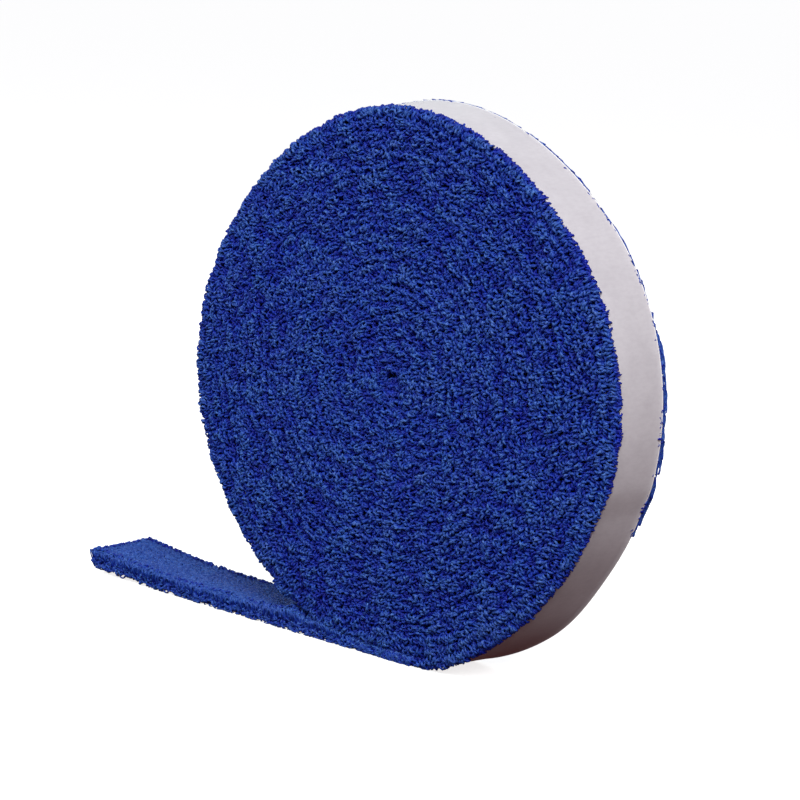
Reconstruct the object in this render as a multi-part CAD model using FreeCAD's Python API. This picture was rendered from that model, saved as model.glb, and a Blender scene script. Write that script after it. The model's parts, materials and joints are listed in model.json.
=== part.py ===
"""Roll of towelling grip tape: a coreless spiral of three laminated strips with its free end paid out.

The tape is a terry towelling strip with a film of adhesive on its back and a paper release liner over
the adhesive. It is wound pile inwards, so the liner is the outside of the roll, and the free end runs
off flat from under the roll, pile up. Near its tip the towelling can be lifted off the liner.

Millimetres. +Z is up, the roll's axis lies along Y and the free end points along -X. The origin is the
centre of the bounding box's bottom, on the surface that the roll stands on.
"""
import FreeCAD, Part
import math
import os

# ---- the tape ----
LINER_WIDTH = 25.0          # cut width of the liner and of the adhesive film
PILE_OVERHANG = 1.3         # loops that stand past each cut edge of the cloth
LINER_THICKNESS = 0.15
ADHESIVE_THICKNESS = 0.10
FREE_THICKNESS = 7.0        # whole tape where nothing presses on the loops

# ---- the winding ----
OUTER_RADIUS = 104.0        # outside of the liner on the outermost half turn
WRAP_PITCH = 3.8            # whole tape, pressed down by the winding
LAST_PITCH = 4.2            # the same under the roll, where the free end leaves it
HALF_TURNS = 53

# ---- the free end, as distances from the point where it leaves the roll ----
LIFT_HINGE = 64.0           # line where the free end bends up off the table
CURL_HINGE = 98.0           # line where it curls further up
PEEL_HINGE = 132.0          # line where the towelling leaves the liner
TAIL_LENGTH = 161.0         # to the tip of the longer edge
END_SLANT = 7.0             # the end is cut at a slight angle, shorter by this at the far edge

# ---- clearances and limits ----
HINGE_GAP = 0.3             # between the cut faces of two stretches
LIFT_DEG = 25.0
CURL_DEG = 20.0
PEEL_DEG = 70.0
NOTCH_SPARE_DEG = 1.5       # extra slope of each cut face, so that two stretches never meet

TOWEL_WIDTH = LINER_WIDTH + 2 * PILE_OVERHANG
LINER_TOP = LINER_THICKNESS
TOWEL_BOTTOM = LINER_THICKNESS + ADHESIVE_THICKNESS
ROLL_X = (TAIL_LENGTH - OUTER_RADIUS) / 2     # puts the origin under the middle of the bounding box


def half_turns(count):
    """(centre height, radius) of each half turn of the liner's outer face, outermost first.

    Even half turns run up the +X side from bottom to top, odd ones run down the -X side. Each one is
    tangent to the next, and each is smaller by half a wrap.
    """
    turns = []
    radius = OUTER_RADIUS
    end_height = 0.0
    for index in range(count):
        upward = index % 2 == 0
        centre = end_height + radius if upward else end_height - radius
        turns.append((centre, radius))
        end_height = centre + radius if upward else centre - radius
        radius -= (LAST_PITCH if index == 0 else WRAP_PITCH) / 2
    return turns


def half_turn_edge(index, turn, inset):
    """The arc of one half turn, inset towards its centre."""
    centre, radius = turn
    radius -= inset
    side = 1 if index % 2 == 0 else -1
    start = FreeCAD.Vector(ROLL_X, 0, centre - side * radius)
    middle = FreeCAD.Vector(ROLL_X + side * radius, 0, centre)
    end = FreeCAD.Vector(ROLL_X, 0, centre + side * radius)
    return Part.Arc(start, middle, end).toShape()


def spiral(turns, first, count, inset):
    """Arcs of a run of half turns, outermost first."""
    return [half_turn_edge(index, turns[index], inset) for index in range(first, first + count)]


def line(start, end):
    return Part.LineSegment(start, end).toShape()


def extrude_across(edges, width):
    """A solid from a closed outline in the XZ plane, centred on the tape's width."""
    face = Part.Face(Part.Wire(Part.sortEdges(edges)[0]))
    face.translate(FreeCAD.Vector(0, -width / 2, 0))
    return face.extrude(FreeCAD.Vector(0, width, 0))


def wound_layer(outer, inner, width):
    """One layer of the winding between two rows of arcs, closed by a cut at each end."""
    cuts = []
    for end, place in ((0, 0), (-1, -1)):
        outer_point = outer[end].Vertexes[place].Point
        inner_point = inner[end].Vertexes[place].Point
        cuts.append(line(outer_point, inner_point))
    return extrude_across(outer + inner + cuts, width)


def wound_film(turns, outer_inset, inner_inset):
    """The wound part of a thin layer between two depths below the liner's outer face."""
    outer = spiral(turns, 0, HALF_TURNS, outer_inset)
    inner = spiral(turns, 0, HALF_TURNS, inner_inset)
    return wound_layer(outer, inner, LINER_WIDTH)


def wound_towelling(turns):
    """The wound towelling: its loops fill the space up to the next wrap's liner."""
    outer = spiral(turns, 0, HALF_TURNS, TOWEL_BOTTOM)
    inner = spiral(turns, 2, HALF_TURNS, 0.0)
    return wound_layer(outer, inner, TOWEL_WIDTH)


def at(distance, height):
    """A point of the tape's side view, at a distance along the free end."""
    return FreeCAD.Vector(ROLL_X - distance, 0, height)


def notch(height, limit_deg):
    """How far a cut face has sloped back at a height, so that the bend has room for the loops."""
    slope = math.radians(limit_deg / 2 + NOTCH_SPARE_DEG)
    return HINGE_GAP / 2 + (height - TOWEL_BOTTOM) * math.tan(slope)


def polygon(points):
    return [line(points[i], points[(i + 1) % len(points)]) for i in range(len(points))]


def flat_film(start, end, bottom, top):
    """A straight stretch of liner or adhesive."""
    corners = [at(start, bottom), at(end, bottom), at(end, top), at(start, top)]
    return extrude_across(polygon(corners), LINER_WIDTH)


def lead_towelling(turns):
    """The towelling between the roll and the first bend, tucked under the rising side of the roll."""
    centre, radius = turns[1]
    angle = math.acos((centre - FREE_THICKNESS) / radius)
    contact = at(radius * math.sin(angle), FREE_THICKNESS)
    halfway = at(radius * math.sin(angle / 2), centre - radius * math.cos(angle / 2))
    bottom_end = LIFT_HINGE - notch(TOWEL_BOTTOM, LIFT_DEG)
    top_end = LIFT_HINGE - notch(FREE_THICKNESS, LIFT_DEG)
    edges = [
        Part.Arc(at(0, LAST_PITCH), halfway, contact).toShape(),
        line(contact, at(top_end, FREE_THICKNESS)),
        line(at(top_end, FREE_THICKNESS), at(bottom_end, TOWEL_BOTTOM)),
        line(at(bottom_end, TOWEL_BOTTOM), at(0, TOWEL_BOTTOM)),
        line(at(0, TOWEL_BOTTOM), at(0, LAST_PITCH)),
    ]
    return extrude_across(edges, TOWEL_WIDTH)


def flat_towelling(start, start_deg, end, end_deg):
    """A straight stretch of towelling between two bends, its cut faces sloped for each bend."""
    corners = [
        at(start + notch(TOWEL_BOTTOM, start_deg), TOWEL_BOTTOM),
        at(end - notch(TOWEL_BOTTOM, end_deg), TOWEL_BOTTOM),
        at(end - notch(FREE_THICKNESS, end_deg), FREE_THICKNESS),
        at(start + notch(FREE_THICKNESS, start_deg), FREE_THICKNESS),
    ]
    return extrude_across(polygon(corners), TOWEL_WIDTH)


def cut_end(solid, setback):
    """Trim a stretch along the slanted end of the tape; the setback shortens films under the loops."""
    half = TOWEL_WIDTH
    slope = END_SLANT / TOWEL_WIDTH
    near = TAIL_LENGTH - setback + slope * (half - TOWEL_WIDTH / 2)
    far = TAIL_LENGTH - setback - slope * (half + TOWEL_WIDTH / 2)
    beyond = TAIL_LENGTH + half
    outline = [
        FreeCAD.Vector(ROLL_X - near, -half, -1),
        FreeCAD.Vector(ROLL_X - far, half, -1),
        FreeCAD.Vector(ROLL_X - beyond, half, -1),
        FreeCAD.Vector(ROLL_X - beyond, -half, -1),
    ]
    knife = Part.Face(Part.Wire(polygon(outline))).extrude(FreeCAD.Vector(0, 0, FREE_THICKNESS + 2))
    return solid.cut(knife).Solids[0]


def flap_towelling():
    """The towelling that peels off the liner, from the peel line to the slanted end."""
    corners = [
        at(PEEL_HINGE + notch(TOWEL_BOTTOM, PEEL_DEG), TOWEL_BOTTOM),
        at(TAIL_LENGTH, TOWEL_BOTTOM),
        at(TAIL_LENGTH, FREE_THICKNESS),
        at(PEEL_HINGE + notch(FREE_THICKNESS, PEEL_DEG), FREE_THICKNESS),
    ]
    return cut_end(extrude_across(polygon(corners), TOWEL_WIDTH), 0.0)


def roll_nodes(turns):
    """The wound part, and the stretch that lies flat between it and the first bend."""
    lead_end = LIFT_HINGE - HINGE_GAP / 2
    return {
        "towelling_wound": wound_towelling(turns),
        "adhesive_wound": wound_film(turns, LINER_TOP, TOWEL_BOTTOM),
        "liner_wound": wound_film(turns, 0.0, LINER_TOP),
        "towelling_lead": lead_towelling(turns),
        "adhesive_lead": flat_film(0.0, lead_end, LINER_TOP, TOWEL_BOTTOM),
        "liner_lead": flat_film(0.0, lead_end, 0.0, LINER_TOP),
    }


def tail_nodes():
    """The stretch that bends up off the table."""
    start = LIFT_HINGE + HINGE_GAP / 2
    end = CURL_HINGE - HINGE_GAP / 2
    return {
        "towelling_tail": flat_towelling(LIFT_HINGE, LIFT_DEG, CURL_HINGE, CURL_DEG),
        "adhesive_tail": flat_film(start, end, LINER_TOP, TOWEL_BOTTOM),
        "liner_tail": flat_film(start, end, 0.0, LINER_TOP),
    }


def end_nodes():
    """The stretch that curls further, with the liner that runs on under the flap to the tip."""
    start = CURL_HINGE + HINGE_GAP / 2
    peel = PEEL_HINGE - HINGE_GAP / 2
    return {
        "towelling_end": flat_towelling(CURL_HINGE, CURL_DEG, PEEL_HINGE, PEEL_DEG),
        "adhesive_end": flat_film(start, peel, LINER_TOP, TOWEL_BOTTOM),
        "liner_end": cut_end(flat_film(start, TAIL_LENGTH, 0.0, LINER_TOP), PILE_OVERHANG),
    }


def flap_nodes():
    """The tip of the towelling and its adhesive, which lift off the liner together."""
    start = PEEL_HINGE + HINGE_GAP / 2
    film = flat_film(start, TAIL_LENGTH, LINER_TOP, TOWEL_BOTTOM)
    return {
        "towelling_flap": flap_towelling(),
        "adhesive_flap": cut_end(film, PILE_OVERHANG),
    }


def main():
    turns = half_turns(HALF_TURNS + 2)
    nodes = {}
    for group in (roll_nodes(turns), tail_nodes(), end_nodes(), flap_nodes()):
        nodes.update(group)
    os.makedirs("parts", exist_ok=True)
    for name, shape in nodes.items():
        shape.exportStep("parts/" + name + ".step")
        print(name, "valid", shape.isValid(), "volume", round(shape.Volume, 1))
    wound_length = sum(math.pi * (radius - TOWEL_BOTTOM) for _, radius in turns[:HALF_TURNS])
    print("tape length, m:", round((wound_length + TAIL_LENGTH) / 1000, 2))


main()
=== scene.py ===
"""Looks of the towelling grip tape roll: the wound and paid-out strips and their terry loops, in metres."""
import json
import math

import bpy
import numpy as np
from mathutils import Matrix, Vector


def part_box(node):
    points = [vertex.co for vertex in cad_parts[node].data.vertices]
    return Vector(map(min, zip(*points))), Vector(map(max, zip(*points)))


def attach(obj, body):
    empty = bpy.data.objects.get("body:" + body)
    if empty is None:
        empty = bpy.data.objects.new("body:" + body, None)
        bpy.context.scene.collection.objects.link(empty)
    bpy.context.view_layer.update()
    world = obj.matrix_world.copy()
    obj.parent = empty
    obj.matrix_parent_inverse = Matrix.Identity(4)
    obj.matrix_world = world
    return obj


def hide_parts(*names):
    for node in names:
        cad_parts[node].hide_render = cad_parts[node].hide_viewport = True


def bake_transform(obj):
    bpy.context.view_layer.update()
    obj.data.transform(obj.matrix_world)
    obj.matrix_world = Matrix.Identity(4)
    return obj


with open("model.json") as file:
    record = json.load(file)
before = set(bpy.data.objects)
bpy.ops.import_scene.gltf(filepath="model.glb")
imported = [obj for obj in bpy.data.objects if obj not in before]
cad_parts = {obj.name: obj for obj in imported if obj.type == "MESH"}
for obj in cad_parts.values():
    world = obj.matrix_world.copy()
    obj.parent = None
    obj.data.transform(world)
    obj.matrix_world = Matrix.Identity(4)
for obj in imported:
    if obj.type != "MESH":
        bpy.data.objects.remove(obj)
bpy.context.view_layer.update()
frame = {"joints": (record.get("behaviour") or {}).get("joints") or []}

MM = 0.001

# ---- sizes read from the frame ----
WOUND_LOW, WOUND_HIGH = (Vector(corner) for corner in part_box("liner_wound"))
ROLL_RADIUS = WOUND_HIGH.z / 2
ROLL_X = WOUND_HIGH.x - ROLL_RADIUS
HALF_WIDTH = WOUND_HIGH.y
TAIL_LENGTH = ROLL_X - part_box("towelling_flap")[0][0]
FREE_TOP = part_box("towelling_tail")[1][2]
HINGES = {joint["name"]: ROLL_X - joint["pos_m"][0] for joint in frame["joints"]}

# ---- the tape and its winding ----
LINER = 0.15 * MM
ADHESIVE = 0.10 * MM
CLOTH_BOTTOM = LINER + ADHESIVE
CLOTH_TOP = 1.05 * MM
WRAP_PITCH = 3.8 * MM
LAST_PITCH = 4.2 * MM
HALF_TURNS = 53
END_SLANT = 7 * MM
END_SETBACK = 1.1 * MM        # the cut cloth stops short of the loops that hang past its end
EDGE_SETBACK = 3.0 * MM       # the edges inside the winding are buried this deep in the loops
FAR_EXTRA = 0.15              # and by this much more, as a share, at the far face
NEAR_SETBACK = 0.8 * MM       # the loops fold a little over the near edge, which hides the paper's cut edge
LIP = 0.35 * MM               # the liner's far cut edge curls outwards by this much
RISE_START = 85 * MM          # from here the end of the tape still curls up a little from having been wound
TIP_CURL = 0.52               # how fast it rises, in metres for each square metre of distance
TIP_TWIST = 0.53              # how much faster the far edge does

# ---- the free end's stretches, split half way between two hinges ----
SPLIT_ROOT = 0.6 * HINGES["tail_lift"]
SPLIT_TAIL = (HINGES["tail_lift"] + HINGES["tail_curl"]) / 2
SPLIT_END = (HINGES["tail_curl"] + HINGES["liner_peel"]) / 2


# ------------------------------------------------------------------ the tape's path

def winding():
    """(centre height, radius, length wound before it) of each half turn, outermost first."""
    rows = []
    radius, end_height, length = ROLL_RADIUS, 0.0, 0.0
    for index in range(HALF_TURNS + 2):
        side = 1 if index % 2 == 0 else -1
        centre = end_height + side * radius
        rows.append((centre, radius, length))
        end_height = centre + side * radius
        length += math.pi * radius
        radius -= (LAST_PITCH if index == 0 else WRAP_PITCH) / 2
    return np.array(rows)


TURNS = winding()
WOUND_LENGTH = TURNS[HALF_TURNS, 2]


def smoothstep(value, low, high):
    t = np.clip((value - low) / (high - low), 0, 1)
    return t * t * (3 - 2 * t)


def across_share(y):
    """0 at the tape's near edge, 1 at its far edge."""
    return (np.asarray(y, float) + HALF_WIDTH) / (2 * HALF_WIDTH)


def swelling(angle, middle, width):
    """A smooth bump, 1 at its middle, over a range of angles around the roll."""
    return np.exp(-((angle - middle) / width) ** 2)


def unevenness(angle, radius, across):
    """How far the hand-wound roll stands off its true arcs: slightly square, flared at the far face.

    Angles are in radians from the +X side, and the heights below are shares of the radius. The whole fades
    towards the centre, and the weight of the roll keeps each wrap flat at its bottom.
    """
    full_turn = np.mod(angle, 2 * math.pi)
    turn = np.mod(angle + math.pi, 2 * math.pi) - math.pi
    left = swelling(full_turn, 3.94, 0.35)
    crotch = swelling(turn, -2.09, 0.045)
    bottom = swelling(turn, -1.32, 0.24)
    corner = swelling(turn, -0.88, 0.26)
    flare = (0.0144 - 0.0077 * np.cos(2 * angle - 0.28)) * (1 - 0.55 * bottom) + 0.0250 * corner
    shape = 0.0123 * np.cos(4 * angle - 0.36) - 0.0121 * np.sin(angle) + 0.0155 * left + 0.026 * crotch
    flare += 0.010 * swelling(turn, -0.43, 0.20) + 0.009 * swelling(turn, 0.60, 0.30)
    pressed = smoothstep(-turn, 0.20, 0.34) * (1 - smoothstep(-turn, 0.95, 1.25))
    shape = shape - 0.0118 * pressed + across * flare
    excess = radius * shape * radius / ROLL_RADIUS
    room = radius * (1 / np.maximum(-np.sin(angle), 0.2) - 1)        # down to the surface it stands on
    soft = 0.25 * MM
    return -soft * np.logaddexp(-excess / soft, -room / soft)


def tip_rise(along, across):
    """Height of the free end above the table, which it leaves in a shallow curve, the far edge more."""
    return (TIP_CURL + TIP_TWIST * across) * np.clip(along - RISE_START, 0, None) ** 2


def path_point(along, inset, across):
    """Points at a distance along the liner's outer face and an inset into the tape: x, z, inward x, inward z.

    Distance is positive along the free end and negative into the winding. across is 0 at the near edge
    and 1 at the far one.
    """
    along = np.asarray(along, float)
    inset = np.broadcast_to(np.asarray(inset, float), along.shape)
    wound = np.clip(-along, 0, WOUND_LENGTH)
    index = np.clip(np.searchsorted(TURNS[:, 2], wound, side="right") - 1, 0, HALF_TURNS - 1)
    centre, radius, start = TURNS[index, 0], TURNS[index, 1], TURNS[index, 2]
    angle = (index - 0.5) * math.pi + (wound - start) / radius
    reach = radius + unevenness(angle, radius, across)
    flat = along > 0
    inward_x = np.where(flat, 0.0, -np.cos(angle))
    inward_z = np.where(flat, 1.0, -np.sin(angle))
    x = np.where(flat, ROLL_X - along, ROLL_X + reach * np.cos(angle))
    z = np.where(flat, tip_rise(along, across), centre + reach * np.sin(angle))
    return x + inset * inward_x, z + inset * inward_z, inward_x, inward_z


def roll_face_height(distance):
    """Height of the roll's rising outer face above the free end, at a distance from the point it leaves."""
    centre, radius = TURNS[1, 0], TURNS[1, 1]
    return centre - np.sqrt(np.maximum(radius ** 2 - distance ** 2, 0))


# ------------------------------------------------------------------ helpers

def smooth_noise(points, cell, seed):
    """Smooth noise from -1 to 1 at 2-D points, on a seeded lattice of that cell size."""
    table = np.random.default_rng(seed).uniform(-1, 1, (256, 256))
    scaled = np.asarray(points, float) / cell
    base = np.floor(scaled).astype(int)
    t = scaled - base
    t = t * t * (3 - 2 * t)
    x0, y0 = base[..., 0] % 256, base[..., 1] % 256
    x1, y1 = (x0 + 1) % 256, (y0 + 1) % 256
    low = table[x0, y0] * (1 - t[..., 0]) + table[x1, y0] * t[..., 0]
    high = table[x0, y1] * (1 - t[..., 0]) + table[x1, y1] * t[..., 0]
    return low * (1 - t[..., 1]) + high * t[..., 1]


def quad_mesh(name, vertices, quads, caps=None):
    """A smooth-shaded object from arrays of vertices, quads and, optionally, end caps of equal size."""
    corners = quads.ravel()
    starts = np.arange(len(quads)) * 4
    if caps is not None and len(caps):
        starts = np.concatenate([starts, len(corners) + np.arange(len(caps)) * caps.shape[1]])
        corners = np.concatenate([corners, caps.ravel()])
    mesh = bpy.data.meshes.new(name)
    mesh.vertices.add(len(vertices))
    mesh.vertices.foreach_set("co", np.ascontiguousarray(vertices, np.float32).ravel())
    mesh.loops.add(len(corners))
    mesh.loops.foreach_set("vertex_index", corners.astype(np.int32))
    mesh.polygons.add(len(starts))
    mesh.polygons.foreach_set("loop_start", starts.astype(np.int32))
    mesh.update(calc_edges=True)
    mesh.polygons.foreach_set("use_smooth", np.ones(len(starts), bool))
    mesh.update()
    piece = bpy.data.objects.new(name, mesh)
    bpy.context.scene.collection.objects.link(piece)
    return piece


# ------------------------------------------------------------------ materials

class Nodes:
    """Short calls for building one material's node tree."""

    def __init__(self, name):
        self.material = bpy.data.materials.new(name)
        self.material.use_nodes = True
        self.tree = self.material.node_tree
        self.shader = self.tree.nodes["Principled BSDF"]
        self.coords = self.tree.nodes.new("ShaderNodeTexCoord")

    def link(self, source, target):
        self.tree.links.new(source, target)

    def noise(self, scale, detail=2.0, stretch=(1, 1, 1), rough=0.5):
        mapping = self.tree.nodes.new("ShaderNodeMapping")
        mapping.inputs["Scale"].default_value = stretch
        self.link(self.coords.outputs["Object"], mapping.inputs["Vector"])
        node = self.tree.nodes.new("ShaderNodeTexNoise")
        node.inputs["Scale"].default_value = scale
        node.inputs["Detail"].default_value = detail
        node.inputs["Roughness"].default_value = rough
        self.link(mapping.outputs["Vector"], node.inputs["Vector"])
        return node.outputs["Fac"]

    def ramp(self, value, stops):
        node = self.tree.nodes.new("ShaderNodeValToRGB")
        ramp = node.color_ramp
        while len(ramp.elements) < len(stops):
            ramp.elements.new(0.5)
        for element, (place, colour) in zip(ramp.elements, stops):
            element.position = place
            element.color = (*colour, 1.0)
        self.link(value, node.inputs["Fac"])
        return node.outputs["Color"]

    def scaled(self, value, low, high):
        node = self.tree.nodes.new("ShaderNodeMapRange")
        node.inputs["To Min"].default_value = low
        node.inputs["To Max"].default_value = high
        self.link(value, node.inputs["Value"])
        return node.outputs["Result"]

    def mix(self, factor, first, second, mode="MIX"):
        node = self.tree.nodes.new("ShaderNodeMix")
        node.data_type = "RGBA"
        node.blend_type = mode
        if isinstance(factor, float):
            node.inputs["Factor"].default_value = factor
        else:
            self.link(factor, node.inputs["Factor"])
        for socket, value in (("A", first), ("B", second)):
            place = [i for i in node.inputs if i.name == socket and i.type == "RGBA"][0]
            if isinstance(value, tuple):
                place.default_value = (*value, 1.0)
            else:
                self.link(value, place)
        return [o for o in node.outputs if o.type == "RGBA"][0]

    def bump(self, height, distance, strength=1.0):
        node = self.tree.nodes.new("ShaderNodeBump")
        node.inputs["Distance"].default_value = distance
        node.inputs["Strength"].default_value = strength
        self.link(height, node.inputs["Height"])
        self.link(node.outputs["Normal"], self.shader.inputs["Normal"])

    def near_edge(self, start, end):
        """0 over most of the tape's width, rising to 1 along both cut edges."""
        split = self.tree.nodes.new("ShaderNodeSeparateXYZ")
        self.link(self.coords.outputs["Object"], split.inputs["Vector"])
        size = self.tree.nodes.new("ShaderNodeMath")
        size.operation = "ABSOLUTE"
        self.link(split.outputs["Y"], size.inputs[0])
        node = self.tree.nodes.new("ShaderNodeMapRange")
        node.inputs["From Min"].default_value = start
        node.inputs["From Max"].default_value = end
        self.link(size.outputs["Value"], node.inputs["Value"])
        return node.outputs["Result"]

    def set(self, **values):
        for name, value in values.items():
            self.shader.inputs[name.replace("_", " ")].default_value = value


def yarn_material():
    """Royal blue cotton yarn: each loop a slightly different blue, with painted shade towards its feet, a
    pale painted highlight at its top, and softly glossy.
    """
    nodes = Nodes("terry_yarn")
    loops = nodes.noise(700, 1.0)
    blue = nodes.ramp(loops, [(0.32, (0.013, 0.064, 0.32)), (0.50, (0.030, 0.103, 0.41)),
                              (0.68, (0.078, 0.178, 0.525))])
    patches = nodes.noise(90, 2.0)
    shade = nodes.ramp(patches, [(0.35, (1.0, 0.88, 0.96)), (0.65, (0.92, 1.0, 1.0))])
    colour = nodes.mix(1.0, blue, shade, "MULTIPLY")
    tip = nodes.tree.nodes.new("ShaderNodeAttribute")
    tip.attribute_name = "tip"
    # painted shade and highlight: by the tip attribute, the yarn is darkened towards each loop's feet and
    # paled to near white at the top of the lightest loops
    shade_and_highlight = nodes.ramp(tip.outputs["Fac"], [(0.0, (0.0, 0.02, 0.65)), (0.40, (0.0, 0.12, 0.74)),
                                           (0.68, (0.20, 0.42, 0.86)), (1.0, (1.0, 1.0, 0.98))])
    colour = nodes.mix(1.0, colour, shade_and_highlight, "MULTIPLY")
    nodes.link(colour, nodes.shader.inputs["Base Color"])
    nodes.bump(nodes.noise(5200, 3.0), 0.00012, 0.6)
    nodes.set(Roughness=0.56, Sheen_Weight=0.04, Sheen_Roughness=0.4, Sheen_Tint=(0.40, 0.55, 1.0, 1.0))
    nodes.shader.inputs["Specular IOR Level"].default_value = 0.32
    return nodes.material


def cloth_material():
    """The woven ground cloth under the loops: the same blue, darker, in a fine plain weave."""
    nodes = Nodes("ground_cloth")
    weave = nodes.noise(2600, 2.0)
    colour = nodes.ramp(weave, [(0.3, (0.004, 0.016, 0.10)), (0.7, (0.012, 0.050, 0.26))])
    nodes.link(colour, nodes.shader.inputs["Base Color"])
    nodes.bump(weave, 0.0002, 0.7)
    nodes.set(Roughness=0.9, Sheen_Weight=0.2, Sheen_Roughness=0.5)
    return nodes.material


def liner_material():
    """Silicone-coated release paper: off-white, faintly cloudy, satin, and with a painted highlight, near
    white, along its cut edges.
    """
    nodes = Nodes("release_paper")
    clouds = nodes.noise(90, 4.0, rough=0.6)
    base = nodes.ramp(clouds, [(0.3, (0.59, 0.565, 0.605)), (0.7, (0.65, 0.625, 0.665))])
    fibres = nodes.noise(900, 3.0, stretch=(1, 0.35, 1))
    flecks = nodes.ramp(fibres, [(0.35, (0.95, 0.945, 0.95)), (0.6, (1.0, 1.0, 1.0))])
    colour = nodes.mix(1.0, base, flecks, "MULTIPLY")
    # painted highlight: a thin near-white line along both cut edges of the paper
    painted_edge_highlight = nodes.near_edge(HALF_WIDTH - 0.45 * MM, HALF_WIDTH - 0.15 * MM)
    colour = nodes.mix(painted_edge_highlight, colour, (0.95, 0.95, 0.96))
    nodes.link(colour, nodes.shader.inputs["Base Color"])
    nodes.link(nodes.scaled(fibres, 0.42, 0.58), nodes.shader.inputs["Roughness"])
    nodes.bump(fibres, 0.00006, 0.5)
    nodes.shader.inputs["Specular IOR Level"].default_value = 0.4
    return nodes.material


def adhesive_material():
    """Pale tacky film, glossy with tiny bubbles and drag marks."""
    nodes = Nodes("adhesive_film")
    marks = nodes.noise(420, 3.0, stretch=(0.3, 1, 1))
    colour = nodes.ramp(marks, [(0.3, (0.50, 0.46, 0.36)), (0.7, (0.62, 0.58, 0.47))])
    nodes.link(colour, nodes.shader.inputs["Base Color"])
    nodes.link(nodes.scaled(marks, 0.22, 0.4), nodes.shader.inputs["Roughness"])
    nodes.bump(marks, 0.00005, 0.5)
    return nodes.material


# ------------------------------------------------------------------ strips: cloth, adhesive, liner

def path_steps(start, end):
    """Distances along the tape from start to end, in order; the hidden inner wraps need fewer."""
    if start < 0:
        steps = []
        for index in range(HALF_TURNS):
            count = 160 if index < 2 else 48
            steps.extend(np.linspace(-TURNS[index, 2], -TURNS[index + 1, 2], count, endpoint=False))
        return np.array(sorted(steps + [start]))
    return np.linspace(start, end, max(2, int((end - start) / (1.5 * MM)) + 1))


ACROSS = np.array([-1, -0.985, -0.95, -0.8, -0.4, 0, 0.4, 0.8, 0.95, 0.985, 1])     # columns across the width
BANDS = 22                    # rows of the strips' bake layout


def strip_uvs(piece, rows, cols):
    """The strip's bake layout: its length folded into bands, each with its two faces side by side."""
    per = math.ceil((rows - 1) / BANDS)
    i = np.arange(rows - 1)
    left, base = (i % per) / per, (i // per) / BANDS
    places = np.linspace(0, 0.46, cols) / BANDS
    blocks = []
    for layer, order in ((0, (0, 1, 1, 0)), (1, (0, 0, 1, 1))):
        u = np.stack([left + k / per for k in order], -1)[:, None].repeat(cols - 1, 1)
        side = (0, 0, 1, 1) if layer == 0 else (0, 1, 1, 0)
        v = np.stack([places[k:cols - 1 + k] for k in side], -1)[None] + 0.5 * layer / BANDS
        blocks.append(np.stack([u, v + base[:, None, None]], -1).reshape(-1, 2))
    for order in ((0, 0, 1, 1), (0, 1, 1, 0)):
        u = np.stack([left + k / per for k in order], -1)
        v = np.stack([base + (0.465 + 0.02 * k) / BANDS for k in (0, 1, 1, 0)], -1)
        blocks.append(np.stack([u, v], -1).reshape(-1, 2))
    blocks.append(np.tile([[0.0, 0.99], [0.0, 1.0], [0.01, 1.0], [0.01, 0.99]], (2 * (cols - 1), 1)))
    layer = piece.data.uv_layers.new(name="OFBake")
    layer.data.foreach_set("uv", np.concatenate(blocks).astype(np.float32).ravel())


def strip(name, start, end, bottom, top, lip=0.0, slanted=False, sunk=False):
    """A closed strip of the tape between two depths, as a mesh of rows across the width.

    Its edges are buried in the loops from the second wrap inwards, and everywhere if it is sunk. lip curls
    the outermost wrap's far edge outwards, as cut paper does. top may be a function of the distance.
    """
    along = path_steps(start, end)
    rows, cols = len(along), len(ACROSS)
    second_wrap = TURNS[2, 2]
    buried = np.ones(rows) if sunk else smoothstep(-along, second_wrap - 30 * MM, second_wrap + 8 * MM)
    setback = EDGE_SETBACK * buried[:, None] * (1 + FAR_EXTRA * (ACROSS > 0))
    setback = setback + NEAR_SETBACK * (1 - buried[:, None]) * (ACROSS < 0)
    y = ACROSS[None] * (HALF_WIDTH - setback)
    place = np.repeat(along[:, None], cols, 1)
    if slanted:
        share = (place - start) / (end - start)
        place = place - share * END_SLANT * (y + HALF_WIDTH) / (2 * HALF_WIDTH)
    loose = smoothstep(-along, 15 * MM, 60 * MM) * (1 - buried)
    curl = lip * loose[:, None] * smoothstep(ACROSS, 0.93, 1.0)[None]
    layers = []
    for inset in (bottom, top(along)[:, None] if callable(top) else top):
        x, z, _, _ = path_point(place, inset - curl, across_share(y))
        layers.append(np.stack([x, y, z], -1))
    vertices = np.concatenate([layer.reshape(-1, 3) for layer in layers])
    index = np.arange(rows * cols).reshape(rows, cols)
    upper = index + rows * cols
    quads = [
        np.stack([index[:-1, :-1], index[1:, :-1], index[1:, 1:], index[:-1, 1:]], -1).reshape(-1, 4),
        np.stack([upper[:-1, :-1], upper[:-1, 1:], upper[1:, 1:], upper[1:, :-1]], -1).reshape(-1, 4),
        np.stack([index[:-1, 0], upper[:-1, 0], upper[1:, 0], index[1:, 0]], -1),
        np.stack([index[:-1, -1], index[1:, -1], upper[1:, -1], upper[:-1, -1]], -1),
        np.stack([index[0, :-1], index[0, 1:], upper[0, 1:], upper[0, :-1]], -1),
        np.stack([index[-1, :-1], upper[-1, :-1], upper[-1, 1:], index[-1, 1:]], -1),
    ]
    piece = quad_mesh(name, vertices, np.concatenate(quads))
    strip_uvs(piece, rows, cols)
    return piece


# ------------------------------------------------------------------ terry loops

RINGS = 6                     # rings along one loop's yarn
SIDES = 5                     # corners of each ring


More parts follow.
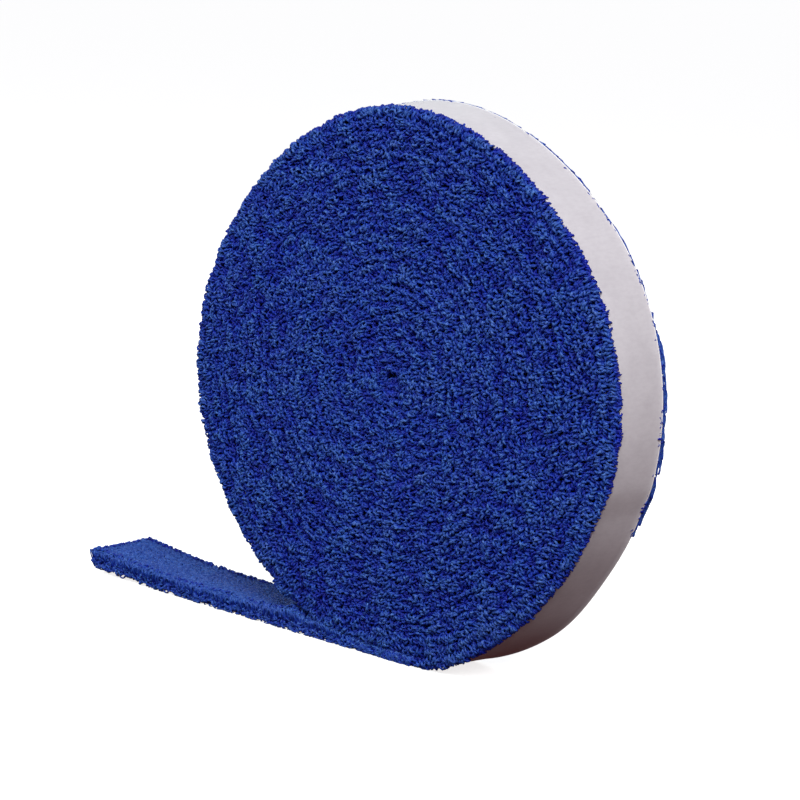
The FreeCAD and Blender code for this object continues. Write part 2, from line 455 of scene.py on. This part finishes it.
def loops_mesh(name, root, rise, spread, height, span, yarn, twist, bow, painted_light):
    """Yarn loops as closed tubes. Each rises from its root, arches along spread and comes back down.

    root, rise and spread are (n, 3); height, span, yarn, twist and bow are (n,). rise and spread are unit
    vectors, twist turns the arch about its rise as it passes over, and bow pushes its top to one side.
    The last argument, from 0 to 1, is how light the loop's yarn is painted: painted shade on loops sunk among
    their neighbours, a painted highlight on those that stand out; the yarn's colour follows it.
    """
    count = len(root)
    u = np.linspace(0, 1, RINGS)
    cross = np.cross(rise, spread)
    cross /= np.linalg.norm(cross, axis=1)[:, None]
    arch = np.sin(np.pi * u) ** 0.75
    reach = -np.cos(np.pi * u) * (1 + 0.25 * np.sin(np.pi * u))
    turn = twist[:, None] * (u - 0.5)[None]
    along = span[:, None] / 2 * reach[None] * np.cos(turn)
    aside = span[:, None] / 2 * reach[None] * np.sin(turn) + bow[:, None] * arch[None]
    up = height[:, None] * arch[None]
    centre = (root[:, None] + along[..., None] * spread[:, None] + aside[..., None] * cross[:, None]
              + up[..., None] * rise[:, None])
    tangent = np.gradient(centre, axis=1)
    tangent /= np.linalg.norm(tangent, axis=2)[..., None]
    side = np.cross(tangent, cross[:, None])
    side /= np.maximum(np.linalg.norm(side, axis=2), 1e-9)[..., None]
    other = np.cross(tangent, side)
    around = np.arange(SIDES) * 2 * np.pi / SIDES
    thick = yarn[:, None] * (0.72 + 0.28 * np.sin(np.pi * u))[None]
    lobes = 1 + 0.16 * np.cos(2 * around[None] + 9.0 * u[:, None])
    radial = (np.cos(around)[None, None, :, None] * side[:, :, None]
              + np.sin(around)[None, None, :, None] * other[:, :, None])
    vertices = centre[:, :, None] + radial * (thick[:, :, None] * lobes[None])[..., None]
    vertices[..., 2] = np.maximum(vertices[..., 2], 0.05 * MM)
    index = np.arange(count * RINGS * SIDES).reshape(count, RINGS, SIDES)
    following = np.roll(index, -1, axis=2)
    quads = np.stack([index[:, :-1], following[:, :-1], following[:, 1:], index[:, 1:]], -1).reshape(-1, 4)
    caps = np.concatenate([index[:, 0, ::-1], index[:, -1]])
    piece = quad_mesh(name, vertices.reshape(-1, 3), quads, caps)
    # painted shade and highlight: the tip attribute is the loop's painted lightness times its arch, so the
    # yarn is painted dark at its feet and light at its top
    tip = piece.data.attributes.new("tip", "FLOAT", "POINT")
    value = np.repeat((painted_light[:, None] * arch[None]).ravel(), SIDES)
    tip.data.foreach_set("value", value.astype(np.float32))
    loop_uvs(piece, count, len(quads), len(caps))
    return piece


def loop_uvs(piece, count, quad_count, cap_count):
    """Each loop has its own small cell of the bake layout."""
    grid = int(math.ceil(math.sqrt(count)))
    cell = 1.0 / grid
    number = np.arange(count)
    corner_x, corner_y = (number % grid) * cell, (number // grid) * cell
    j, i = np.meshgrid(np.arange(RINGS - 1), np.arange(SIDES), indexing="ij")
    ju = np.stack([j, j, j + 1, j + 1], -1) / (RINGS - 1)
    iv = np.stack([i, i + 1, i + 1, i], -1) / SIDES
    inner = 0.86 * cell
    u = corner_x[:, None, None, None] + 0.07 * cell + inner * ju[None]
    v = corner_y[:, None, None, None] + 0.07 * cell + inner * iv[None]
    quads = np.stack([u, v], -1).reshape(-1, 2)
    ends = np.zeros((cap_count * SIDES, 2))
    for half, place in ((0, 0.07), (1, 0.93)):
        block = slice(half * count * SIDES, (half + 1) * count * SIDES)
        ends[block, 0] = np.repeat(corner_x + place * cell, SIDES)
        ends[block, 1] = np.repeat(corner_y, SIDES) + np.tile(np.linspace(0.1, 0.9, SIDES), count) * cell
    layer = piece.data.uv_layers.new(name="OFBake")
    layer.data.foreach_set("uv", np.concatenate([quads, ends]).astype(np.float32).ravel())


def unit(vectors):
    return vectors / np.linalg.norm(vectors, axis=-1, keepdims=True)


LOOP_SPACING = 1.15 * MM      # along the tape, in each row on a face
FACE_ROWS = (0.75 * MM, 1.60 * MM, 2.45 * MM, 3.30 * MM)    # depths of the rows of loops into the tape
FACE_SECTORS = 12             # pieces that each face's loops are split into
RIM_SPACING = 0.62 * MM       # along the outermost wrap's edge
CENTRE_LOOPS = 50             # extra loops that close the centre

# how far the far face's outermost loops stand past the liner's edge, in mm, by degrees around the roll
FRINGE_ANGLES = (-180, -120, -100, -29, -24, -19, -10, 12, 22, 60, 85, 100, 180)
FRINGE_SHOWN = (0.6, 0.6, -1.0, -1.5, 0.8, 2.9, 2.7, 1.7, 0.4, 0.15, 0.4, 0.4, 0.6)


def scatter(rng, rise, along, aside, turn, spread):
    """Tilt the rise directions at random, and lay the spans across them, turned from along to aside."""
    tilt = rng.normal(0, 1, (len(rise), 2)) * np.reshape(spread, (-1, 1))
    rise = unit(rise + tilt[:, :1] * along + tilt[:, 1:] * aside)
    span = np.cos(turn)[:, None] * along + np.sin(turn)[:, None] * aside
    return rise, unit(span - np.sum(span * rise, 1, keepdims=True) * rise)


def face_rows(rng):
    """Where the rows of loops stand along one cut edge: distances along the tape and depths into it."""
    count = int(WOUND_LENGTH / LOOP_SPACING)
    along, depth = [], []
    for row, inset in enumerate(FACE_ROWS):
        along.append(-(np.arange(count) + 0.5 * row + rng.uniform(-0.42, 0.42, count)) * LOOP_SPACING)
        depth.append(inset + rng.uniform(-0.40, 0.40, count) * MM)
    along.append(-WOUND_LENGTH + rng.uniform(3, 22, CENTRE_LOOPS) * MM)
    depth.append(rng.uniform(3.3, 7.0, CENTRE_LOOPS) * MM)
    return np.concatenate(along), np.concatenate(depth)


def rim_row(rng):
    """The loops of the outermost wrap that fold over the edge of the liner."""
    length = TURNS[2, 2]
    count = int(length / RIM_SPACING)
    return -rng.uniform(0, length, count), rng.uniform(0.05, 0.75, count) * MM


def line_noise(along, cell, seed):
    """Smooth noise that depends on the distance along the tape alone."""
    return smooth_noise(np.stack([along, along * 0], -1), cell, seed)


def face_pile(side, seed):
    """Loops that fill one face of the roll: side is -1 for the near face and 1 for the far one.

    rim marks the loops that fold over the liner's edge, and lying those of them on the far face, where they
    lie flat along the edge as a fringe. border rises from 0 to 1 in the last wraps before the rim.
    """
    rng = np.random.default_rng(seed)
    far = side > 0
    along, depth = face_rows(rng)
    rim_along, rim_depth = rim_row(rng)
    if far:
        rim_depth = 0.45 * rim_depth - 0.06 * MM
    rim = np.concatenate([np.zeros(len(along)), np.ones(len(rim_along))])
    along, depth = np.concatenate([along, rim_along]), np.concatenate([depth, rim_depth])
    keep = (along > -WOUND_LENGTH + 2 * MM) & (along < 0)
    along, depth, rim = along[keep], depth[keep], rim[keep]
    count = len(along)
    lying = rim * far

    # where each loop stands on the face, which rolls up and down in clumps and in the rows of the tape
    x, z, inward_x, inward_z = path_point(along, depth, (side + 1) / 2)
    flat = np.stack([x, z], -1)
    centre = np.array([ROLL_X, TURNS[1, 0]])
    radius = np.linalg.norm(flat - centre, axis=1)
    share = radius / ROLL_RADIUS
    border = smoothstep(share, 0.90, 0.95)
    clumps = smooth_noise(flat, 4.5 * MM, seed + 1)
    bunch = smooth_noise(np.stack([along, 1.5 * radius], -1), 3.6 * MM, seed + 5)
    wander = line_noise(along, 60 * MM, seed + 2)
    tufts = line_noise(along, 7 * MM, seed + 3)
    ridge = np.cos((depth / WRAP_PITCH - 0.55) * 2 * np.pi)    # 1 in the middle of the tape, -1 at its liner
    pit = 0.9 * np.exp(-(radius / (4.5 * MM)) ** 2)            # the closed centre is sunk a little
    stand = 0.30 * clumps + 0.50 * bunch + 0.25 * wander + 0.28 * ridge - pit - 0.75
    out = HALF_WIDTH + (stand - 0.5 * smoothstep(share, 0.93, 1.0)) * MM
    root = np.stack([x, side * (out + 0.35 * MM * rim), z], -1)
    inward = np.stack([inward_x, np.zeros(count), inward_z], -1)
    tangent = np.stack([-inward_z, np.zeros(count), inward_x], -1)

    # the far fringe: how far it shows past the liner, with strands at every level of it where it is deep
    lean = np.degrees(np.arctan2(z - centre[1], x - centre[0]))
    shown = np.interp(lean, FRINGE_ANGLES, FRINGE_SHOWN) + 0.75 * line_noise(along, 10 * MM, seed + 6)
    held = np.clip(shown - 1.0, -1.4, 1.2) * border * far
    outermost = (along > -TURNS[2, 2]) & (rim == 0) & far
    least_depth = np.where(shown > 1.1, 0.75, 1.45) * MM
    depth = np.where(outermost, np.maximum(depth, least_depth), depth)
    root[:, 1] += (1.2 * held - 0.3 * border * far) * MM * (1 - rim)
    filled = 0.6 * np.clip(shown - 0.6, 0, 1)
    level = np.random.default_rng(seed + 7).uniform(0, 1, count) ** filled
    lying_y = -1.15 + level * np.maximum(shown + 0.8, 0)
    root[:, 1] = np.where(lying > 0, HALF_WIDTH + lying_y * MM, root[:, 1])
    root[:, 0], root[:, 2], _, _ = path_point(along, depth, across_share(root[:, 1]))

    # which way each loop points, and how its two feet lie
    over = (0.25 * border + rim * np.maximum(0.12 + 0.50 * tufts, 0)) * (not far)
    rise = np.array([0.0, side, 0.0]) - over[:, None] * inward
    drift = 1.6 * smooth_noise(flat, 5.5 * MM, seed + 4) + rng.normal(0, 0.7, count)
    turn = drift * (1 - border) + (np.pi / 2 * (not far) + rng.normal(0, 0.65, count)) * border
    turn = np.where(rim > 0, rng.uniform(0.4, 2.7, count), turn) * (1 - lying)
    turn += rng.normal(0, 0.10, count) * lying
    tilt = 0.36 - 0.14 * border * (1 - lying) - 0.26 * lying
    rise, spread = scatter(rng, rise, tangent, inward, turn, tilt)

    # its size and twist
    tall = rng.beta(1.3, 1.1, count)
    height = (0.95 + 1.45 * tall) * MM * (1 - 0.42 * rim) * (1 + 0.25 * np.minimum(held, 0))
    strand = (0.45 + 0.15 * tufts + 0.35 * np.clip(shown - 0.8, 0, 1)) * MM
    height = height * (1 - lying) + strand * lying
    span = (rng.uniform(1.2, 2.3, count) + 0.3 * border * (1 - rim)) * MM * (1 - 0.30 * rim)
    span = span * (1 - lying) + rng.uniform(4.5, 6.5, count) * MM * lying
    yarn = rng.uniform(0.38, 0.52, count) * MM * (1 - 0.30 * lying)
    twist = rng.uniform(-1.6, 1.6, count) * (1 - 0.5 * border) * (1 - lying)
    bow = rng.normal(0, 0.3, count) * MM * (1 - lying)

    # how light its yarn is painted: painted shade on short loops, in the hollows between clumps, in the
    # valleys at the liner, in the sunk centre and on the rim; lighter on tall loops, at the border and on the
    # fringe
    painted_light = 0.42 + 0.40 * tall + 0.12 * clumps + 0.32 * bunch + 0.12 * ridge - 0.2 * pit
    painted_light += 0.08 * border * (1 - rim) - 0.12 * rim
    painted_light = np.clip(painted_light, 0.12, 1.0) * (1 - lying) + 0.95 * lying

    sector = ((np.arctan2(z - centre[1], x - centre[0]) / (2 * np.pi) + 0.5) * FACE_SECTORS).astype(int)
    sector[(lying > 0) & (shown < -0.3)] = -1        # hidden behind the liner's edge
    label = "far" if far else "near"
    pieces = []
    for number in range(FACE_SECTORS):
        m = (sector % FACE_SECTORS == number) & (sector >= 0)
        pieces.append(loops_mesh(f"pile_{label}_face_{number + 1}", root[m], rise[m], spread[m], height[m],
                                 span[m], yarn[m], twist[m], bow[m], painted_light[m]))
    return pieces


TOP_SPACING = 0.66 * MM       # between the loops on top of the free end
SIDE_SPACING = 0.85 * MM      # and on its cut edges
SWELL_PLACE = 45 * MM         # where the pile pushed aside by the roll stands highest
SWELL_LENGTH = 6 * MM
SWELL_HEIGHT = 2.2 * MM


def end_place(y):
    """Where the tape's slanted end lies, as a distance along the tape, for a place across it."""
    return TAIL_LENGTH - END_SETBACK - END_SLANT * (y + HALF_WIDTH) / (2 * HALF_WIDTH)


def free_height(s, y=0.0):
    """How high the pile stands: its free height, a little higher at the near corner of the end and lower
    under the roll.
    """
    under = roll_face_height(np.clip(s, 0, ROLL_RADIUS * 0.9))
    corner = smoothstep(s - y, TAIL_LENGTH + HALF_WIDTH - 14 * MM, TAIL_LENGTH + HALF_WIDTH)
    pushed = SWELL_HEIGHT * np.exp(-((s - SWELL_PLACE) / SWELL_LENGTH) ** 2)
    free = (FREE_TOP + 0.4 * MM) * (1 + 0.03 * corner) + pushed
    free = free + 0.9 * MM * across_share(y)
    return np.minimum(free, np.where(s > 0, under, LAST_PITCH))


def pile_top(rng, start, end):
    """Roots, rises and heights of the long fine loops on top; they lean out over the edges and the end."""
    rows, cols = int((end - start) / TOP_SPACING), int(2 * HALF_WIDTH / TOP_SPACING)
    i, j = np.meshgrid(np.arange(rows) + 0.5, np.arange(cols) + 0.5, indexing="ij")
    s = start + (i.ravel() + rng.uniform(-0.45, 0.45, rows * cols)) * TOP_SPACING
    y = -HALF_WIDTH + (j.ravel() + rng.uniform(-0.45, 0.45, rows * cols)) * 2 * HALF_WIDTH / cols
    keep = s < end_place(y)
    s, y = s[keep], y[keep]
    side_lean = smoothstep(np.abs(y), HALF_WIDTH - 3 * MM, HALF_WIDTH + 0.5 * MM) * np.sign(y)
    end_lean = smoothstep(s, end_place(y) - 3 * MM, end_place(y))
    x, z, _, _ = path_point(s, CLOTH_TOP - 0.3 * MM, across_share(y))
    rise = np.stack([-0.30 * end_lean, 0.28 * side_lean, np.ones(len(s))], -1)
    clumps = smooth_noise(np.stack([s, y], -1), 7 * MM, 77)
    edge = np.maximum(np.abs(side_lean), end_lean)
    height = (free_height(s, y) - CLOTH_TOP) * (0.99 + 0.030 * clumps + rng.uniform(-0.035, 0.02, len(s)))
    return np.stack([x, y, z], -1), rise, height * (1 - 0.05 * edge)


def pile_side(rng, start, end, edge):
    """The same for the short loops that stand out sideways from one cut edge: edge is -1 or 1."""
    layers = int(FREE_TOP / SIDE_SPACING)
    count = int((end - start) / SIDE_SPACING) * layers
    s = rng.uniform(start, end, count)
    level = (np.arange(count) % layers + rng.uniform(0.1, 0.9, count)) / layers
    keep = s < end_place(edge * HALF_WIDTH)
    s, level = s[keep], level[keep]
    x, base, _, _ = path_point(s, 0.0, (edge + 1) / 2)
    z = base + 0.15 * MM + level * (free_height(s, edge * HALF_WIDTH) - 1.0 * MM)
    round_off = level ** 3
    bulge = smooth_noise(np.stack([s, level * 6 * MM], -1), 5 * MM, 88) * 0.35 * MM
    y = edge * (HALF_WIDTH + (0.15 if edge < 0 else -0.35) * MM - 1.7 * MM * round_off + bulge)
    rise = np.stack([np.zeros(len(s)), edge * np.ones(len(s)), 1.1 * round_off - 0.1], -1)
    return np.stack([x, y, z], -1), rise, rng.uniform(0.9, 1.6, len(s)) * MM


def pile_end(rng):
    """The same for the loops that stand out past the slanted end."""
    layers = int(FREE_TOP / SIDE_SPACING)
    count = int(2 * HALF_WIDTH / (0.8 * SIDE_SPACING)) * layers
    y = rng.uniform(-HALF_WIDTH, HALF_WIDTH, count)
    level = (np.arange(count) % layers + rng.uniform(0.1, 0.9, count)) / layers
    round_off = level ** 2
    corner = smoothstep(np.abs(y), HALF_WIDTH - 3 * MM, HALF_WIDTH)
    s = end_place(y) - (0.3 + 1.5 * round_off + 1.2 * corner) * MM
    x, base, _, _ = path_point(s, 0.0, across_share(y))
    z = base + 0.45 * MM + level * (free_height(s, y) - 1.4 * MM)
    rise = np.stack([-np.ones(count), 0.6 * corner * np.sign(y), 1.0 * round_off - 0.1], -1)
    return np.stack([x, y, z], -1), rise, rng.uniform(0.7, 1.2, count) * MM


def tail_pile(name, start, end, seed):
    """Loops on one stretch of the free end: the top, both cut edges and, on the last, the end."""
    rng = np.random.default_rng(seed)
    groups = [pile_top(rng, start, end), pile_side(rng, start, end, -1), pile_side(rng, start, end, 1)]
    if end >= TAIL_LENGTH - END_SETBACK:
        groups.append(pile_end(rng))
    root, rise, height = (np.concatenate(part) for part in zip(*groups))
    count, top = len(root), np.arange(len(root)) < len(groups[0][0])
    along = np.tile([1.0, 0.0, 0.0], (count, 1))
    aside = unit(np.cross(rise, along))
    turn = rng.uniform(0, np.pi, count)
    rise, spread = scatter(rng, unit(rise), along, aside, turn, np.where(top, 0.10, 0.26))
    span = rng.uniform(1.2, 2.2, count) * MM * np.where(top, 0.80, 1.0)
    yarn = rng.uniform(0.34, 0.46, count) * MM * np.where(top, 0.85, 1.0)
    twist = rng.uniform(-1.8, 1.8, count)
    bow = rng.normal(0, 0.30, count) * MM
    # painted light: the loops on top are all painted light, as if light fell from above; those on the cut
    # edges and the end are painted darker or lighter at random
    painted_light = np.where(top, 0.90, rng.uniform(0.60, 1.0, count))
    return loops_mesh(name, root, rise, spread, height, span, yarn, twist, bow, painted_light)


# ------------------------------------------------------------------ the object

def finish_piece(piece, material):
    """Give a piece its material."""
    piece.data.materials.append(material)
    return piece


def bend(piece):
    """Bake the transform of a piece of the free end into its mesh; it is not bent."""
    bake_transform(piece)


LAYERS = {
    "cloth": ("towelling", CLOTH_BOTTOM, CLOTH_TOP, 0.0),
    "film": ("adhesive", LINER, CLOTH_BOTTOM, 0.0),
    "paper": ("liner", 0.0, LINER, LIP),
}


def tape_strip(layer, part, start, end, materials, slanted=False):
    """One stretch of one of the tape's three layers."""
    slot, bottom, top, lip = LAYERS[layer]
    piece = strip(f"{layer}_{part}", start, end, bottom, top, lip, slanted)
    return finish_piece(piece, materials[slot])


def build_strips(materials):
    """Cloth, adhesive and liner, each as the wound part and three stretches of the free end."""
    end = TAIL_LENGTH - END_SETBACK
    for layer, (slot, _, _, _) in LAYERS.items():
        wound = tape_strip(layer, "wound", -WOUND_LENGTH, 0.0, materials)
        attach(wound, "roll")
        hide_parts(f"{slot}_wound")
        lead = tape_strip(layer, "lead", 0.0, SPLIT_TAIL, materials)
        bend(lead)
        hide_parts(f"{slot}_lead", f"{slot}_tail")
        middle = tape_strip(layer, "middle", SPLIT_TAIL, SPLIT_END, materials)
        bend(middle)
        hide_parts(f"{slot}_end")
        tip = tape_strip(layer, "tip", SPLIT_END, end, materials, slanted=True)
        if layer == "paper":
            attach(tip, "tail_end")
        else:
            bend(tip)
            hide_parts(f"{slot}_flap")


def pressed_depth(along):
    """How deep the pressed loops reach: to the next wrap's liner, and in the last turn to its centre."""
    index = np.clip(np.searchsorted(TURNS[:, 2], -along, side="right") - 1, 0, HALF_TURNS - 1)
    return np.where(index < HALF_TURNS - 2, WRAP_PITCH - 0.25 * MM, TURNS[index, 1] - 0.1 * MM)


def build_pressed_pile(material):
    """The loops inside the winding, pressed into one solid layer between the wraps."""
    piece = strip("pile_pressed", -WOUND_LENGTH, 0.0, CLOTH_TOP, pressed_depth, sunk=True)
    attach(finish_piece(piece, material), "roll")


def build_pile(material):
    """The loops on both faces of the roll and on the free end."""
    def tail_piece(name, start, end, seed):
        return finish_piece(tail_pile(name, start, end, seed), material)

    for side, seed in ((-1, 11), (1, 23)):
        for piece in face_pile(side, seed):
            finish_piece(piece, material)
            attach(piece, "roll")
    for number, (start, end) in enumerate(((-18 * MM, 10 * MM), (10 * MM, SPLIT_ROOT))):
        piece = tail_piece(f"pile_root_{number + 1}", start, end, 31 + number)
        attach(piece, "roll")
    lift = tail_piece("pile_lift", SPLIT_ROOT, SPLIT_TAIL, 34)
    bend(lift)
    curl = tail_piece("pile_curl", SPLIT_TAIL, SPLIT_END, 41)
    bend(curl)
    middle = HINGES["liner_peel"] + 4 * MM
    for number, (start, end) in enumerate(((SPLIT_END, middle), (middle, TAIL_LENGTH))):
        piece = tail_piece(f"pile_tip_{number + 1}", start, end, 51 + number)
        bend(piece)


# ------------------------------------------------------------------ camera, light and floor

IMAGE_SIZE = 800              # pixels, both ways
FOCAL_LENGTH = 2504           # pixels
ROLL_CENTRE = (413.2, 383.9)  # where the line of sight to the roll's centre meets the picture, in pixels
SENSOR_WIDTH = 36             # millimetres
CAMERA_AZIMUTH = 40.4         # degrees round from the roll's axis
CAMERA_ELEVATION = 9.76
CAMERA_ROLL = 3.31
CAMERA_DISTANCE = 9.1 * ROLL_RADIUS


def aim(obj, place, target, roll_deg=0.0):
    """Put an object at a place, looking at a target, turned about its line of sight."""
    direction = (Vector(target) - Vector(place)).normalized()
    turn = direction.to_track_quat("-Z", "Y").to_matrix().to_4x4()
    obj.matrix_world = Matrix.Translation(place) @ turn @ Matrix.Rotation(math.radians(roll_deg), 4, "Z")


def build_camera():
    """The scene's camera, which looks at the roll's centre from slightly above its near face."""
    azimuth, elevation = math.radians(CAMERA_AZIMUTH), math.radians(CAMERA_ELEVATION)
    data = bpy.data.cameras.new("camera")
    data.sensor_width = SENSOR_WIDTH
    data.lens = FOCAL_LENGTH / IMAGE_SIZE * SENSOR_WIDTH
    camera = bpy.data.objects.new("camera", data)
    bpy.context.scene.collection.objects.link(camera)
    target = Vector((ROLL_X, 0, ROLL_RADIUS))
    back = Vector((math.sin(azimuth) * math.cos(elevation), -math.cos(azimuth) * math.cos(elevation),
                   math.sin(elevation)))
    aim(camera, target + back * CAMERA_DISTANCE, target, CAMERA_ROLL)
    data.shift_x = (IMAGE_SIZE / 2 - ROLL_CENTRE[0]) / IMAGE_SIZE
    data.shift_y = (ROLL_CENTRE[1] - IMAGE_SIZE / 2) / IMAGE_SIZE
    bpy.context.scene.camera = camera
    bpy.context.scene.view_settings.view_transform = "Standard"


def area_light(name, place, target, size, power, colour=(1, 1, 1)):
    """A square soft light."""
    data = bpy.data.lights.new(name, "AREA")
    data.shape = "SQUARE"
    data.size = size
    data.energy = power
    data.color = colour
    light = bpy.data.objects.new(name, data)
    bpy.context.scene.collection.objects.link(light)
    aim(light, place, target)


SKY_TOP = 0.30                # height on the unit sphere above which the sky is one grey
SKY_STOPS = (                 # heights on the unit sphere, and the light that comes from there
    (-1.0, (0.024, 0.010, 0.010)), (-0.60, (0.045, 0.014, 0.014)), (-0.25, (0.130, 0.014, 0.012)),
    (-0.03, (0.140, 0.014, 0.012)), (-0.012, (0.97, 0.97, 0.97)), (0.014, (0.97, 0.97, 0.97)),
    (0.05, (0.22, 0.22, 0.23)),
)


def build_sky():
    """A grey sky with a white band at the horizon, over a dark reddish half that tints the undersides."""
    world = bpy.data.worlds.new("world")
    world.use_nodes = True
    tree = world.node_tree
    direction = tree.nodes.new("ShaderNodeTexCoord")
    split = tree.nodes.new("ShaderNodeSeparateXYZ")
    spread = tree.nodes.new("ShaderNodeMapRange")
    ramp = tree.nodes.new("ShaderNodeValToRGB")
    spread.inputs["From Min"].default_value = -1.0
    spread.inputs["From Max"].default_value = SKY_TOP
    while len(ramp.color_ramp.elements) < len(SKY_STOPS):
        ramp.color_ramp.elements.new(0.5)
    for element, (height, colour) in zip(ramp.color_ramp.elements, SKY_STOPS):
        element.position, element.color = (height + 1.0) / (SKY_TOP + 1.0), (*colour, 1.0)
    tree.links.new(direction.outputs["Generated"], split.inputs["Vector"])
    tree.links.new(split.outputs["Z"], spread.inputs["Value"])
    tree.links.new(spread.outputs["Result"], ramp.inputs["Fac"])
    tree.links.new(ramp.outputs["Color"], tree.nodes["Background"].inputs["Color"])
    bpy.context.scene.world = world


FLOOR_DROP = 0.2 * MM         # the floor lies just below the tape, so that the two don't share a plane
LIGHT_DISTANCE = 1.3          # metres from the roll's centre


def build_stage():
    """A plain pale floor that throws no light back up, and three soft lights on the roll."""
    bpy.ops.mesh.primitive_plane_add(size=60)
    floor = bpy.context.object
    floor.name = "floor"
    floor.location.z = -FLOOR_DROP
    floor.visible_diffuse = False
    floor.visible_glossy = False
    nodes = Nodes("floor")
    nodes.set(Base_Color=(0.90, 0.90, 0.90, 1.0), Roughness=0.9, Emission_Color=(1.0, 1.0, 1.0, 1.0),
              Emission_Strength=0.78)
    floor.data.materials.append(nodes.material)
    middle = Vector((ROLL_X, 0, ROLL_RADIUS))
    area_light("key", middle + LIGHT_DISTANCE * Vector((0.60, -0.45, 0.69)), middle, 0.9, 18)
    area_light("back", middle + LIGHT_DISTANCE * Vector((-0.50, 0.70, 0.50)), middle, 0.9, 3)
    area_light("fill", middle + Vector((-0.38, -0.45, 0.28)), middle, 0.3, 1.7, (0.78, 1.0, 1.0))


def main():
    materials = {"towelling": cloth_material(), "adhesive": adhesive_material(), "liner": liner_material()}
    build_camera()
    build_sky()
    build_stage()
    build_strips(materials)
    build_pressed_pile(materials["towelling"])
    build_pile(yarn_material())


main()
